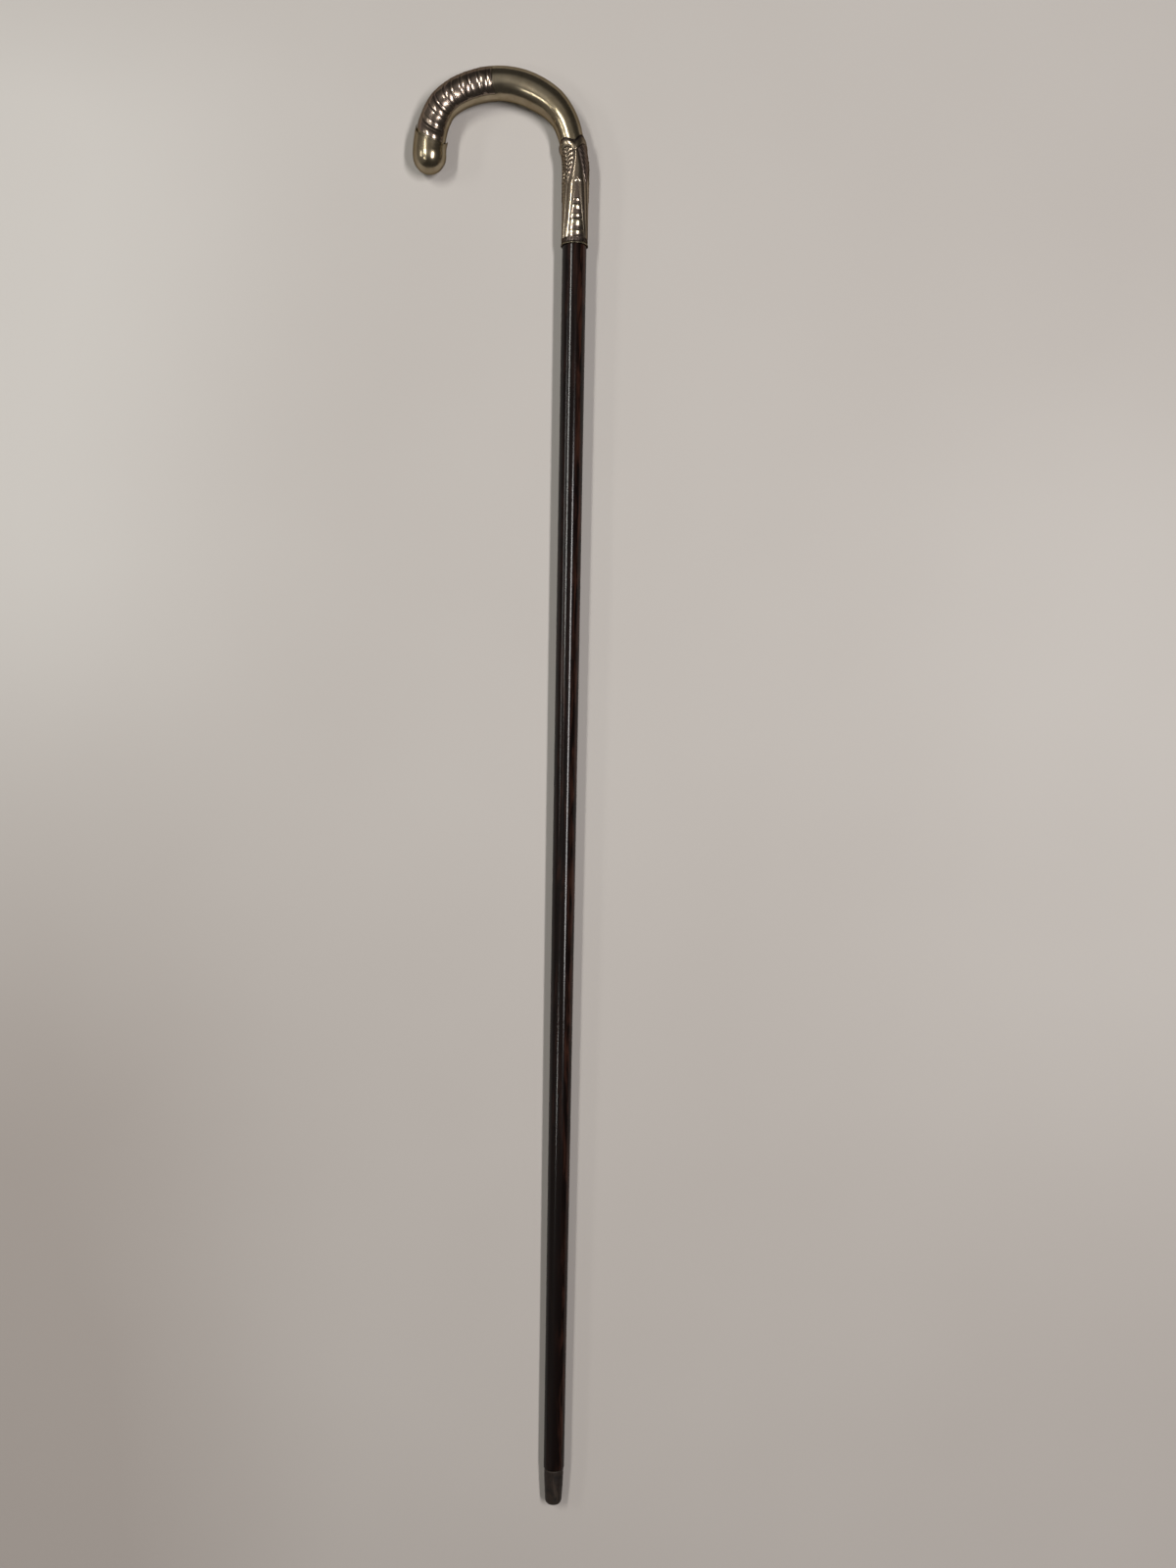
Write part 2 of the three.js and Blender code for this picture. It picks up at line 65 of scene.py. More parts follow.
# Shader maths on sockets: each expression adds its Math nodes
class Wire:
    def __init__(self, finish, socket):
        self.finish = finish
        self.socket = socket

    def math(self, operation, a, b):
        return self.finish.add("Math", {"operation": operation}, {0: a, 1: b})

    def __add__(self, other):
        return self.math("ADD", self, other)

    def __radd__(self, other):
        return self.math("ADD", other, self)

    def __sub__(self, other):
        return self.math("SUBTRACT", self, other)

    def __rsub__(self, other):
        return self.math("SUBTRACT", other, self)

    def __mul__(self, other):
        return self.math("MULTIPLY", self, other)

    def __rmul__(self, other):
        return self.math("MULTIPLY", other, self)

    def clamp(self):
        return self.finish.add("Clamp", {}, {"Value": self})

    def between(self, low, high):  # 0 below low, 1 above high, smooth between
        ease = {"interpolation_type": "SMOOTHSTEP"}
        return self.finish.add("MapRange", ease, {"Value": self, "From Min": low, "From Max": high})


# A material or world under construction
class Finish:
    def __init__(self, owner):
        owner.use_nodes = True
        self.owner = owner
        self.tree = owner.node_tree
        self.tree.nodes.clear()

    # One node: its settings first, then the values or links of its sockets
    def add(self, kind, settings=None, inputs=None, out=0):
        node = self.tree.nodes.new("ShaderNode" + kind)
        for name, value in (settings or {}).items():
            setattr(node, name, value)
        for name, value in (inputs or {}).items():
            socket = node.inputs[name]
            if isinstance(value, Wire):
                self.tree.links.new(value.socket, socket)
            elif isinstance(value, tuple) and socket.type == "RGBA":
                socket.default_value = (*value, 1)
            else:
                socket.default_value = value
        return Wire(self, node.outputs[out]) if node.outputs else None

    def place(self, scale=(1, 1, 1), turn=(0, 0, 0)):  # Object coordinates, stretched and turned
        spot = self.add("TexCoord", out=3)
        return self.add("Mapping", {}, {"Vector": spot, "Scale": scale, "Rotation": turn})

    def noise(self, spot, scale, detail=3.0, rough=0.55, distort=0.0):
        values = {"Vector": spot, "Scale": scale, "Detail": detail, "Roughness": rough, "Distortion": distort}
        return self.add("TexNoise", {}, values)

    def blend(self, share, a, b):
        settings = {"data_type": "RGBA", "clamp_factor": True}
        return self.add("Mix", settings, {0: share, 6: a, 7: b}, out=2)

    def bump(self, height, depth, strength=1.0, under=None):
        values = {"Height": height, "Distance": depth, "Strength": strength}
        if under is not None:
            values["Normal"] = under
        return self.add("Bump", {}, values)

    def surface(self, inputs):
        shader = self.add("BsdfPrincipled", {}, inputs)
        self.add("OutputMaterial", {}, {"Surface": shader})
        return self.owner


def newFinish(name):
    return Finish(bpy.data.materials.new(name))


# Silver: warm tarnish in clouds, brown patina on the relief, dark oxide in its hollows, fine hairlines
# The patina and oxide shares also carry painted shade, set where the collar, the nose cap and the rim are
# made
silverSet = {
    "bright": (0.4, 0.343, 0.25), "tarnish": (0.22, 0.172, 0.105), "oxideAndShadeColour": (0.022, 0.018, 0.016),
    "patinaAndShade": (0.25, 0.193, 0.165), "edge": (0.36, 0.33, 0.29), "gloss": 0.17, "dull": 0.38,
}


def silverFinish():
    s = silverSet
    f = newFinish("silver")
    spot = f.place()
    oxideAndShade = f.add("Attribute", {"attribute_name": "oxideAndShade"}, out=2)
    patinaAndShade = f.add("Attribute", {"attribute_name": "patinaAndShade"}, out=2)
    cloud = f.noise(spot, 42, 4, 0.6).between(0.36, 0.66)
    mottle = f.noise(spot, 190, 4, 0.65).between(0.42, 0.7)
    hair = f.noise(f.place((90, 90, 900), (0.3, 0.5, 0.2)), 9, 2, 0.5).between(0.35, 0.75)
    tarnish = (cloud * 0.55 + mottle * 0.25).clamp()
    oxideAndShadeShare = (oxideAndShade * (0.85 + 0.3 * mottle)).clamp()
    plain = f.blend(tarnish, s["bright"], s["tarnish"])
    metal = f.blend((patinaAndShade * (0.75 + 0.3 * mottle)).clamp(), plain, s["patinaAndShade"])
    base = f.blend(oxideAndShadeShare, metal, s["oxideAndShadeColour"])
    rough = (s["gloss"] + 0.07 * tarnish + 0.05 * hair + (s["dull"] - s["gloss"]) * oxideAndShadeShare).clamp()
    grain = f.bump(f.noise(spot, 75, 2, 0.4), 0.0009, 0.22)
    normal = f.bump(hair * 0.6 + f.noise(spot, 1500, 2) * 0.4, 0.00002, 0.35, grain)
    return f.surface({
        "Base Color": base, "Metallic": 1.0, "Roughness": rough, "Specular Tint": s["edge"], "Normal": normal,
    })


# Hardwood: near black, with long reddish brown streaks and short open pores under a thin polish
woodSet = {
    "dark": (0.0042, 0.0022, 0.0019), "brown": (0.017, 0.0072, 0.005), "red": (0.044, 0.0165, 0.0105),
    "pore": (0.002, 0.0015, 0.0015),
}


def woodFinish():
    s = woodSet
    f = newFinish("hardwood")
    streak = f.noise(f.place((1, 1, 0.1)), 400, 5, 0.62, 0.5)
    figure = f.noise(f.place((1, 1, 0.09)), 95, 3, 0.55, 0.8)
    patch = f.noise(f.place((1, 1, 0.45)), 17, 2, 0.5)
    pores = f.noise(f.place((1, 1, 0.05)), 1150, 2, 0.6).between(0.6, 0.72)
    lines = (streak.between(0.42, 0.66) * figure.between(0.34, 0.62)).clamp()
    brown = f.blend((lines * patch.between(0.3, 0.62)).clamp(), s["dark"], s["brown"])
    # The streaks are redder along the stick's right-hand side, set by position
    right = f.add("SeparateXYZ", {}, {"Vector": f.place()}, out=0).between(0.001, 0.0055)
    warm = streak.between(0.5, 0.74) * patch.between(0.4, 0.7) * 0.35
    warm = warm + streak.between(0.4, 0.66) * right * 0.75
    red = f.blend(warm.clamp(), brown, s["red"])
    base = f.blend(pores * 0.8, red, s["pore"])
    rough = 0.27 + 0.12 * pores + 0.08 * figure
    normal = f.bump(1 - pores * 0.7 + streak * 0.5, 0.00005, 0.45)
    return f.surface({
        "Base Color": base, "Roughness": rough, "Normal": normal, "Specular IOR Level": 0.0,
        "Coat Weight": 0.42, "Coat Roughness": 0.16,
    })


# Horn: mottled brown, matte, with pale fibres and a scuffed tip
hornSet = {
    "body": (0.02, 0.0135, 0.01), "pale": (0.05, 0.037, 0.028), "dark": (0.007, 0.005, 0.0045),
    "scuff": (0.034, 0.026, 0.021),
}


def hornFinish():
    s = hornSet
    f = newFinish("horn")
    spot = f.place()
    fibre = f.noise(f.place((1, 1, 0.12)), 520, 4, 0.6, 0.5)
    cloud = f.noise(spot, 190, 3, 0.55, 0.6)
    speck = f.noise(f.place((1, 1, 0.4)), 900, 3, 0.7).between(0.6, 0.72)
    height = f.add("SeparateXYZ", {}, {"Vector": spot}, out=2)
    worn = (1 - height.between(0.0008, 0.0042)) * cloud.between(0.3, 0.6)
    top = height.between(0.0208, 0.0218)
    base = f.blend(cloud.between(0.35, 0.7), s["body"], s["dark"])
    base = f.blend((fibre.between(0.5, 0.75) * 0.6 + speck * 0.5).clamp(), base, s["pale"])
    base = f.blend((worn * 0.7 + top * 0.55).clamp(), base, s["scuff"])
    normal = f.bump(fibre * 0.6 + speck * 0.4, 0.00012, 0.6)
    rough = 0.46 + 0.16 * fibre + 0.12 * worn
    return f.surface({"Base Color": base, "Roughness": rough, "Normal": normal, "Specular IOR Level": 0.22})


# Pitch cement inside the handle: dull, grainy, near black
pitchSet = {"dark": (0.018, 0.013, 0.01), "pale": (0.05, 0.038, 0.03)}


def pitchFinish():
    f = newFinish("pitch")
    grit = f.noise(f.place(), 700, 4, 0.7)
    base = f.blend(grit, pitchSet["dark"], pitchSet["pale"])
    return f.surface({"Base Color": base, "Roughness": 0.7 + 0.2 * grit, "Normal": f.bump(grit, 0.0002, 0.5)})


silver = silverFinish()
hardwood = woodFinish()
horn = hornFinish()
pitch = pitchFinish()
print("materials made")


def ease(x, low, high):  # 0 below low, 1 above high, smooth between
    t = np.clip((x - low) / (high - low), 0, 1)
    return t * t * (3 - 2 * t)


def hump(x, half):  # one cosine hump, half wide on each side
    return np.where(np.abs(x) < half, 0.5 + 0.5 * np.cos(np.pi * x / half), 0)


def dome(t):  # half an ellipse over -1 to 1
    return np.sqrt(np.clip(1 - t * t, 0, None))


def mix(a, b, share):  # a at share 0, b at share 1
    return a + (b - a) * share


# Cubic through stations: each slope is the rise between a station's two neighbours; level past the ends
def smoothThrough(stations, x):
    px, py = np.array(stations, float).T
    slope = np.gradient(py, px)
    slope[1:-1] = (py[2:] - py[:-2]) / (px[2:] - px[:-2])
    x = np.clip(x, px[0], px[-1])
    i = np.clip(np.searchsorted(px, x, side="right") - 1, 0, len(px) - 2)
    width = px[i + 1] - px[i]
    t = (x - px[i]) / width
    rise = t * t * (3 - 2 * t)
    bend = width * (t * (1 - t) ** 2 * slope[i] + t * t * (t - 1) * slope[i + 1])
    return py[i] + (py[i + 1] - py[i]) * rise + bend


# The handle's spine and the plain radius of its tube, by polar angle round the crook's centre, as in the CAD
handle = {
    "reach": 49.5, "centreZ": 842.6, "rimZ": 787.0, "straight": -18.0,
    "spine": [(-24, 54.1844), (-18, 52.0475), (-12, 50.6058), (6.5, 48), (15, 47.7), (30, 48.2), (45, 47.9),
              (60, 46.8), (90, 46), (110, 45.9), (135, 46.6), (150, 44.9), (165, 43), (180, 42.2)],
    "tube": [(-5, 7.35), (6.5, 7.4), (15, 7.85), (30, 8.45), (45, 9.6), (60, 10.2), (90, 10.15), (105, 9.95),
             (135, 9.65), (165, 9.5), (180, 9.5)],
    "sheet": 0.45,
}


# Straight up the shaft's axis below the crook, then the station radius at the polar angle
def spinePoint(angle):
    turn = np.radians(angle)
    level = handle["reach"] / np.cos(np.minimum(turn, 1))
    radius = np.where(angle < handle["straight"], level, smoothThrough(handle["spine"], angle))
    x = -handle["reach"] + radius * np.cos(turn)
    return np.stack([x, np.zeros_like(x), handle["centreZ"] + radius * np.sin(turn)], -1)


# Point of the spine, unit direction along it by a small difference, and the direction out of the crook
def spineFrame(angle):
    angle = np.asarray(angle, float)
    along = spinePoint(np.minimum(angle + 0.01, 180)) - spinePoint(angle - 0.01)
    along /= np.linalg.norm(along, axis=-1, keepdims=True)
    along = np.where((angle >= 179.999)[..., None], np.array([0.0, 0.0, -1.0]), along)
    outward = np.stack([along[..., 2], np.zeros_like(angle), -along[..., 0]], -1)
    return spinePoint(angle), along, outward


# Point at a distance from the spine: turn 0 faces the front, 90 the outside of the crook
def around(angle, turn, distance):
    point, along, outward = spineFrame(angle)
    t = np.radians(turn)[..., None]
    ring = np.cos(t) * np.array([0.0, -1.0, 0.0]) + np.sin(t) * outward
    return point + np.asarray(distance)[..., None] * ring


def tubeRadius(angle):  # plain radius of the crook's tube
    return smoothThrough(handle["tube"], angle)


def fromInside(turn):  # degrees round the tube from the middle of its inside, 0 to 180
    return np.abs((turn + 90 + 180) % 360 - 180)


# Polar angle at a height on the spine's lower stretch, read back from a table of heights
heightTable = np.linspace(-60, 60, 12001)


def angleAtHeight(z):
    return np.interp(z, spinePoint(heightTable)[:, 2], heightTable)


# Local depth of a relief: how far each point lies under the average of its neighbourhood
def hollowOf(relief, cells, depth):
    soft = relief
    for axis, n in enumerate(cells):
        pad = [(0, 0), (0, 0)]
        pad[axis] = (n, n + 1)
        total = np.cumsum(np.pad(soft, pad, mode="edge"), axis)
        low = np.take(total, range(0, soft.shape[axis]), axis)
        high = np.take(total, range(2 * n, 2 * n + soft.shape[axis]), axis)
        soft = (high - low) / (2 * n)
    return np.clip((soft - relief) / depth, 0, 1)


sharpAngle = 60  # degrees between two faces past which their edge is shaded sharp


# Puts points, faces and the values of oxide and painted shade, and of patina and painted shade, into a mesh
# piece on the body, faces outward
def makePiece(name, points, faces, oxideAndShade, patinaAndShade, finish, slot, nodes):
    corners = [np.asarray(f) for f in faces]
    volume = 0
    for f in corners:
        a = points[f[:, 0]]
        for k in range(1, f.shape[1] - 1):
            volume += np.einsum("ij,ij->", a, np.cross(points[f[:, k]], points[f[:, k + 1]]))
    if volume < 0:
        corners = [f[:, ::-1] for f in corners]
    mesh = bpy.data.meshes.new(name)
    mesh.from_pydata((points * 0.001).tolist(), [], [row for f in corners for row in f.tolist()])
    for title, values in (("oxideAndShade", oxideAndShade), ("patinaAndShade", patinaAndShade)):
        mesh.attributes.new(title, "FLOAT", "POINT").data.foreach_set("value", values.astype(np.float32))
    mesh.polygons.foreach_set("use_smooth", np.ones(len(mesh.polygons), bool))
    mesh.set_sharp_from_angle(angle=math.radians(sharpAngle))
    mesh.materials.append(finish)
    piece = bpy.data.objects.new(name, mesh)
    bpy.context.scene.collection.objects.link(piece)
    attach(piece, "root")
    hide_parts(*nodes)
    size = round(abs(volume) / 6)
    print("made", name, len(points), "points,", len(mesh.polygons), "faces, volume", size, "mm3")


# Grid of rows that close round on themselves; the first and last rows are poles or meet each other
def makeTurned(name, grid, oxideAndShade, finish, slot, nodes, ringed=False):
    n, m = grid.shape[:2]
    body = grid if ringed else grid[1:-1]
    index = np.arange(body.shape[0] * m).reshape(-1, m)
    nxt = np.roll(index, -1, 1)
    upper = np.roll(index, -1, 0) if ringed else index[1:]
    upperNxt = np.roll(upper, -1, 1)
    low, lowNxt = (index, nxt) if ringed else (index[:-1], nxt[:-1])
    faces = [np.stack([low, lowNxt, upperNxt, upper], -1).reshape(-1, 4)]
    points = body.reshape(-1, 3)
    values = (oxideAndShade if ringed else oxideAndShade[1:-1]).reshape(-1)
    if not ringed:
        points = np.vstack([points, grid[0].mean(0), grid[-1].mean(0)])
        values = np.append(values, [oxideAndShade[0].mean(), oxideAndShade[-1].mean()])
        first, last = len(points) - 2, len(points) - 1
        faces.append(np.stack([nxt[0], index[0], np.full(m, first)], -1))
        faces.append(np.stack([index[-1], nxt[-1], np.full(m, last)], -1))
    makePiece(name, points, faces, values, 0 * values, finish, slot, nodes)


# Half shell: rows of outer points, from seam to seam, and of fewer inner points, joined at seams and ends
def makeShell(name, outer, inner, oxideAndShade, patinaAndShade, finish, slot, nodes):
    n, m, k = outer.shape[0], outer.shape[1], inner.shape[1]
    points = np.concatenate([outer, inner[:, ::-1]], 1)
    index = np.arange(n * (m + k)).reshape(n, m + k)
    nxt = np.roll(index, -1, 1)
    faces = [np.stack([index[:-1], nxt[:-1], nxt[1:], index[1:]], -1).reshape(-1, 4)]
    near = np.rint(np.linspace(0, k - 1, m)).astype(int)
    for row, flip in ((index[0], False), (index[-1], True)):
        o, i = row[:m], row[m:][::-1][near]
        side = np.stack([o[1:], o[:-1], i[:-1]], -1)
        jump = i[1:] != i[:-1]
        under = np.stack([o[1:], i[:-1], i[1:]], -1)[jump]
        both = np.vstack([side, under])
        faces.append(both[:, ::-1] if flip else both)
    values = [np.concatenate([v, np.zeros((n, k))], 1).reshape(-1) for v in (oxideAndShade, patinaAndShade)]
    makePiece(name, points.reshape(-1, 3), faces, *values, finish, slot, nodes)


# Crook: stamped tube in two halves, smooth inside strip, panel of beads, fillets and hollow bands
crook = {
    "mouth": 2, "panelFrom": 91, "end": 176, "seam": 0.012, "seamDepth": 0.05,
    "plainRows": 130, "panelRows": 570, "columns": 120, "innerColumns": 10,
    "step": 0.45, "stripHalf": 31, "stripSoft": 2.4, "lead": 6.5, "cusp": 3.5,
    "beads": [101.2, 115.7, 130.5, 145.3], "beadHeight": 0.42, "beadHalf": 2.6,
    "filletHeight": 0.14, "filletPlace": 4.3, "lowFilletHalf": 1.2, "highFilletHalf": 1.1,
    "bandPlace": 7.5, "bandHalf": 2.2, "bandDepth": 0.05, "endFillet": 156.4, "endFilletHalf": 1,
    "endGroove": 159.7, "endGrooveHalf": 2.6, "endGrooveDepth": 0.5,
    "bulge": 165.6, "bulgeHalf": 4.6, "bulgeHeight": 0.4, "bulgeFrom": (161, 163),
    "slant": 9, "slantTurn": 58, "slantFrom": 103, "slantFull": 135,
    "edge": 171.3, "horn": 2, "hornSpread": 30, "tick": 2, "tickSpread": 25,
}


def hornShare(turn):  # 1 on the outside of the crook, falling to 0 on both sides
    return np.clip(1 - np.abs(fromInside(turn) - 180) / crook["hornSpread"], 0, None) ** 2.2


def tickShare(turn):  # 1 on the inside of the crook
    return np.clip(1 - fromInside(turn) / crook["tickSpread"], 0, None)


# Lean of the panel's lines round the tube: cosine of the turn from slantTurn, 0 at the front and back
def slantShape(turn):
    c = crook
    q = np.radians(fromInside(turn) - c["slantTurn"])
    return c["slant"] * (np.cos(q) - math.cos(math.radians(90 - c["slantTurn"])))


# Polar angle of a line of the panel: it leans more and more towards the nose, and not at the tube's end
def panelAngle(line, turn):
    c = crook
    share = ease(line, c["slantFrom"], c["slantFull"]) * (1 - ease(line, c["edge"] + 1.2, c["end"]))
    return line + share * slantShape(turn)


def capEdge(turn):  # the cap's lip as a line of the panel
    return crook["edge"] - crook["horn"] * hornShare(turn) - crook["tick"] * tickShare(turn)


# Height over the plain tube: a step with bead arches, cosine fillets, shallow parabolic bands, a groove and
# a bulge, fading towards the inside strip and the outside of the crook; with the panel's own mask
def panelRelief(line, turn):
    c = crook
    q = fromInside(turn)
    start = c["beads"][0] - c["lead"] - c["cusp"] * np.exp(-np.maximum(q - c["stripHalf"], 0) / 10)
    mask = ease(q, c["stripHalf"] - c["stripSoft"], c["stripHalf"] + c["stripSoft"])
    mask = mask * ease(line, start - 0.5, start + 0.3)
    mask = mask * (1 - ease(line, capEdge(turn) - 2.8, capEdge(turn) - 1.8))
    height = np.zeros_like(line)
    for bead in c["beads"]:
        along = line - bead
        height += c["beadHeight"] * dome(along / c["beadHalf"]) ** 1.3
        fillets = hump(along + c["filletPlace"], c["lowFilletHalf"])
        fillets = fillets + hump(along - c["filletPlace"], c["highFilletHalf"])
        height += c["filletHeight"] * fillets
        height -= c["bandDepth"] * np.clip(1 - ((along - c["bandPlace"]) / c["bandHalf"]) ** 2, 0, None)
    height += c["filletHeight"] * hump(line - c["endFillet"], c["endFilletHalf"])
    height -= c["endGrooveDepth"] * hump(line - c["endGroove"], c["endGrooveHalf"])
    bulge = hump(line - c["bulge"], c["bulgeHalf"]) - 0.5
    height += c["bulgeHeight"] * bulge * ease(line, *c["bulgeFrom"])
    height = c["step"] + height * ease(q, c["stripHalf"], c["stripHalf"] + 20)
    return mask * height * (1 - 0.85 * ease(q, 95, 170)), mask


# Gentle unevenness of hand-finished sheet, in mm: three crossing waves
def sheetWaves(angle, turn):
    a, t = np.radians(angle), np.radians(turn)
    waves = 0.018 * np.sin(9 * a + 2 * t) + 0.014 * np.sin(14 * a - 3 * t + 1)
    return waves + 0.01 * np.sin(23 * a + 1.7 * t + 2)


# Half of the crook's sheet: rows along the tube, closer along the panel, and columns from seam to seam
def makeCrook(name, side, node):
    c = crook
    plain = np.linspace(c["mouth"], c["panelFrom"], c["plainRows"], endpoint=False)
    line = np.append(plain, np.linspace(c["panelFrom"], c["end"], c["panelRows"]))
    line = line[:, None] + np.zeros((1, c["columns"]))
    share = np.linspace(-1, 1, c["columns"])[None, :]
    turn = side + share * (90 - np.degrees(c["seam"] / tubeRadius(line)))
    angle = panelAngle(line, turn)
    relief, panel = panelRelief(line, turn)
    toSeam = (1 - np.abs(share)) * 90 * np.radians(1) * tubeRadius(angle)
    seamLine = c["seamDepth"] * np.exp(-(toSeam / 0.3) ** 2)
    outer = around(angle, turn, tubeRadius(angle) + relief + sheetWaves(angle, turn) - seamLine)
    few = np.linspace(0, c["columns"] - 1, c["innerColumns"]).astype(int)
    inner = around(angle[:, few], turn[:, few], tubeRadius(angle[:, few]) - handle["sheet"])
    oxideAndShade = np.clip(hollowOf(relief, (11, 3), 0.2) + 0.35 * np.exp(-(toSeam / 0.2) ** 2), 0, 1)
    makeShell(name, outer, inner, oxideAndShade, panel, silver, "silver", [node])


makeCrook("crook_front_sheet", 0, "crook_front_shell")
makeCrook("crook_back_sheet", 180, "crook_back_shell")


# Collar: lancets with ladders, leaves of scales between them, serrated side ribs and a scalloped band
collar = {
    "rows": 400, "columns": 220, "innerColumns": 10, "turn": 8.5, "bore": 7.65, "ground": 8.1, "seam": 0.012,
    "rim": 1.3, "bandMid": 59.8, "bandHalf": 3.1, "bandRise": 3.8, "bandProud": 0.75, "leafTop": 61.5,
    "leafPoint": 36.8, "leafHalf": 40, "leafProud": 0.32, "legProud": 0.45, "apex": 41, "slope": 1.06,
    "spread": 21, "foot": 4, "footProud": 0.15, "markProud": 0.1,
    "ladder": [(6.9, 1.3, 0.34), (12.9, 2.2, 0.62), (17.2, 0.9, 0.24), (22.6, 1.6, 0.44), (27.0, 0.9, 0.22)],
    "ribLow": 27.8, "ribHigh": 53.5, "ribPitch": 2.15, "ribHalf": 24, "ribProud": 0.5,
    "scaleRow": 2.7, "scaleSlant": 0.7, "scaleProud": 0.42,
}


def bandMid(turn):  # mid-height of the band, which dips to a notch at every quarter turn
    return collar["bandMid"] + collar["bandRise"] * np.abs(np.sin(np.radians(2 * turn))) ** 0.9


# Scales in two columns that slant down to the leaf's middle, one column half a scale higher
def scales(h, across, half):
    c = collar
    side = np.abs(across) / np.maximum(half, 0.3)
    row = (h - c["scaleSlant"] * np.abs(across)) / c["scaleRow"] + 0.5 * (across > 0)
    v = row % 1
    return c["scaleProud"] * dome((side - 0.42) / 0.4) * np.clip(np.sin(np.pi * v ** 0.7), 0, None) ** 0.8


# Rung of a ladder over -1 to 1: a long rise from its lower edge, then a short fall
def rung(x):
    rise = np.sin(np.pi / 2 * np.clip((x + 1) / 1.55, 0, 1))
    return rise * np.cos(np.pi / 2 * np.clip((x - 0.55) / 0.45, 0, 1))


# Relief over the collar's ground, from the height above its rim and its own turn; with patina and dark
# shares, which also hold painted shade on the band's upper half and on two of the leaves
def collarRelief(h, turn):
    c = collar
    mm = math.radians(1) * (c["ground"] + 0.2)
    b = np.abs((turn + 90) % 180 - 90)  # degrees from the middle of the front or back lancet
    down = np.clip((c["leafPoint"] - h) / c["leafPoint"], 0, 1)
    groove = 45 + c["spread"] * down  # where that lancet meets the one at the side
    u = np.clip((c["leafTop"] - h) / (c["leafTop"] - c["leafPoint"]), 0, 1)
    half = np.where(h > c["leafPoint"], c["leafHalf"] * (1 - u ** 1.6), 0)  # half the leaf's width
    front = b < groove
    d = np.where(front, b, 90 - b)  # degrees from the middle of the lancet
    span = np.maximum(np.where(front, groove - half, 90 - groove - half), 1)  # half the lancet's width
    vFront = c["slope"] * np.maximum(c["apex"] - h, 0)
    inner = np.where(front, vFront, vFront * (90 - groove) / groove)  # half the ladder's width
    start = -span + (inner + span) * ease(c["apex"] - h, 0, 3)
    middle = (start + span) / 2
    legs = c["legProud"] * (1 - np.abs((d - middle) / ((span - start) / 2)) ** 2.2)
    leafMask = ease((half - np.abs(b - 45)) * mm, -0.2, 0.3)
    leaf = c["leafProud"] * np.minimum(half / 10, 1) * dome((b - 45) / np.maximum(half, 0.1)) + 0.05
    away = ((turn % 90) - 45) * mm
    plain = (turn % 180 < 90) * 1.0  # two of the four leaves are worn flatter, and darkened as painted shade
    leaf = leaf + scales(h, away, half * mm) * ease(half, 2, 7) * (1 - 0.65 * plain)
    rungs = np.max([proud * rung((h - at) / wide) for at, wide, proud in c["ladder"]], 0)
    ladder = rungs * np.where(front, 1, 0.4) * dome(d / np.maximum(inner, 0.1)) ** 0.5
    vMask = ease((inner - d) * mm, -0.2, 0.3) * ease(inner, 0, 1.5)
    height = mix(mix(legs, leaf, leafMask), ladder, vMask)
    tooth = (h - c["ribLow"]) / c["ribPitch"]  # the side ribs, one tooth to a whole number
    saw = dome(((tooth % 1) - 0.4) / 0.36)
    within = ease(h, c["ribLow"] - 0.2, c["ribLow"] + 0.2)
    within = within * (1 - ease(h, c["ribHigh"] - 0.2, c["ribHigh"] + 0.2))
    ribHalf = np.clip(42 - half, 6, c["ribHalf"])
    ribMask = ease((ribHalf - (90 - b)) * mm, -0.2, 0.2) * within
    height = mix(height, height * 0.3 + c["ribProud"] * (0.1 + 0.9 * saw), ribMask)
    marks = c["markProud"] * np.clip(np.sin(np.radians(turn * 26) + np.sin(h * 1.7)), 0, None)
    marks = marks * ease(c["foot"] - h, 0.3, 0.7)
    height = mix(c["footProud"] - marks, height, ease(h, c["foot"] - 0.15, c["foot"] + 0.15))
    t = (h - bandMid(turn)) / c["bandHalf"]  # -1 to 1 over the band's height
    band = 0.06 + c["bandProud"] * np.clip(1 - t * t, 0, None)
    onBand = ease((1 - np.abs(t)) * c["bandHalf"], -0.1, 0.15)
    height = mix(height, band, onBand)
    foot = 1 - ease(h, c["foot"] - 0.6, c["foot"] + 0.3)
    # Painted shade: the two flatter leaves get more patina
    patinaAndShade = mix(mix(0.5, 0.6 + 0.6 * plain, leafMask), 0.95 - 0.95 * ease(ladder, 0.05, 0.25), vMask)
    # Painted shade: the band's upper half gets more patina than its lower half
    patinaAndShade = mix(mix(patinaAndShade, 1.3, foot), 0.4 + 0.8 * ease(t, 0.1, 0.6), onBand)
    edge = ease(np.abs(half - np.abs(b - 45)) * mm, 0.45, 0.1) * ease(half, 2, 6) * (1 - vMask)
    # Painted shade darkens the band's upper half
    dark = 0.75 * foot + 0.7 * onBand * ease(t, 0.25, 0.8)
    # Painted shade darkens the two flatter leaves
    dark = dark + 0.6 * edge * (1 - onBand) + 0.3 * leafMask * plain
    return mix(height, 0.05, ease((t - 1) * c["bandHalf"], -0.1, 0.1)), patinaAndShade, dark


